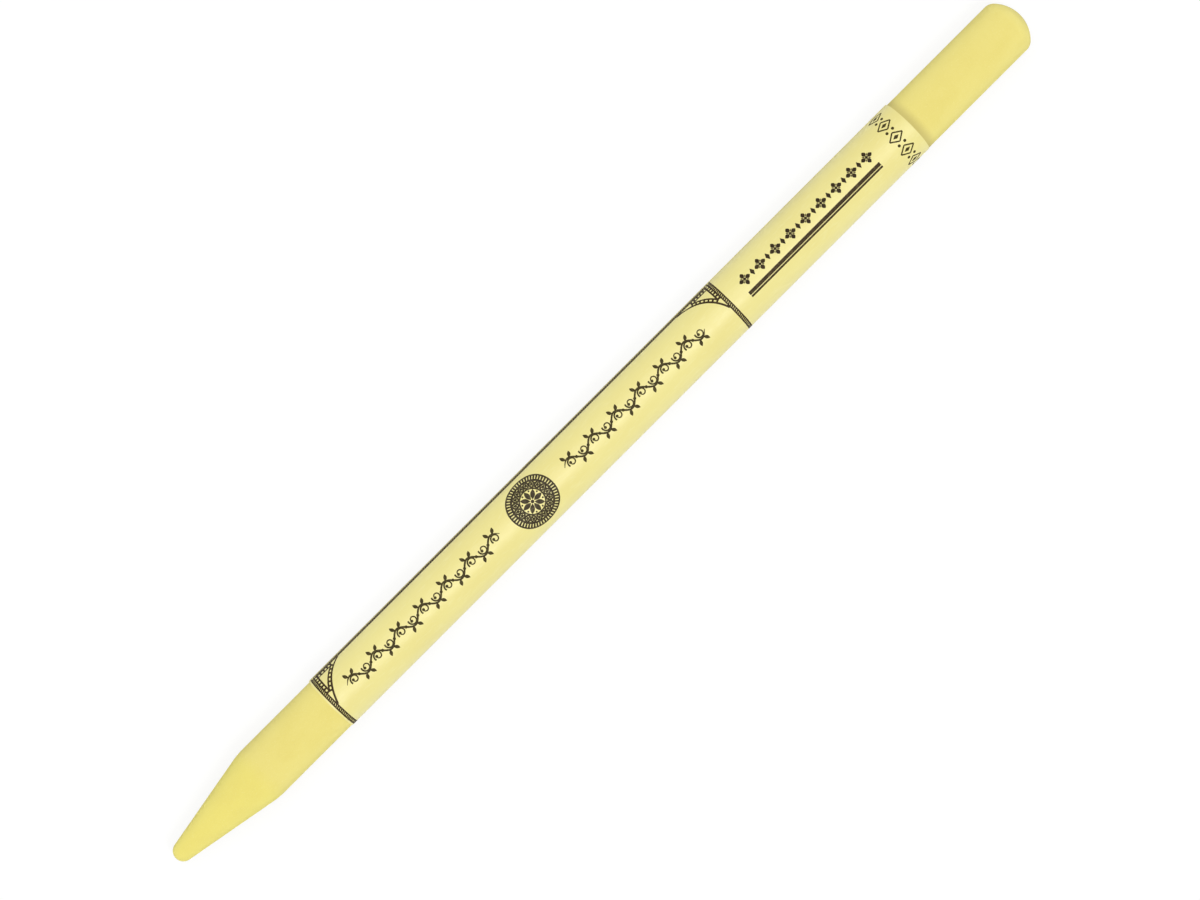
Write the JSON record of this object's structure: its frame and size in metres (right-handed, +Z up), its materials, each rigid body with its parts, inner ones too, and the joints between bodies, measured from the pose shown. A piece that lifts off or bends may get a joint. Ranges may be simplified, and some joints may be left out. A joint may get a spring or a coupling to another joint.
{
  "type": "crayon",
  "caption": "Woodless round pastel crayon with a blunt cone point, a crowned butt and a printed paper label rolled round its barrel, for drawing and shading by hand.",
  "frame": {"origin": "middle of the footprint, on the surface that the crayon lies on", "axes": "+X along the crayon from the writing point to the butt, +Y towards the side that carries the label's glued lap, +Z up, through the middle of the label's front print"},
  "size_m": [0.159, 0.0082, 0.0082],
  "materials": {
    "pastel": "matte",
    "label_paper": "satin",
    "dried_paste": "satin"
  },
  "bodies": {
    "root": {"pastel_stick": "pastel", "paste_coat": "dried_paste", "paper_wrapper": "label_paper", "lap_paste": "dried_paste"}
  },
  "joints": []
}
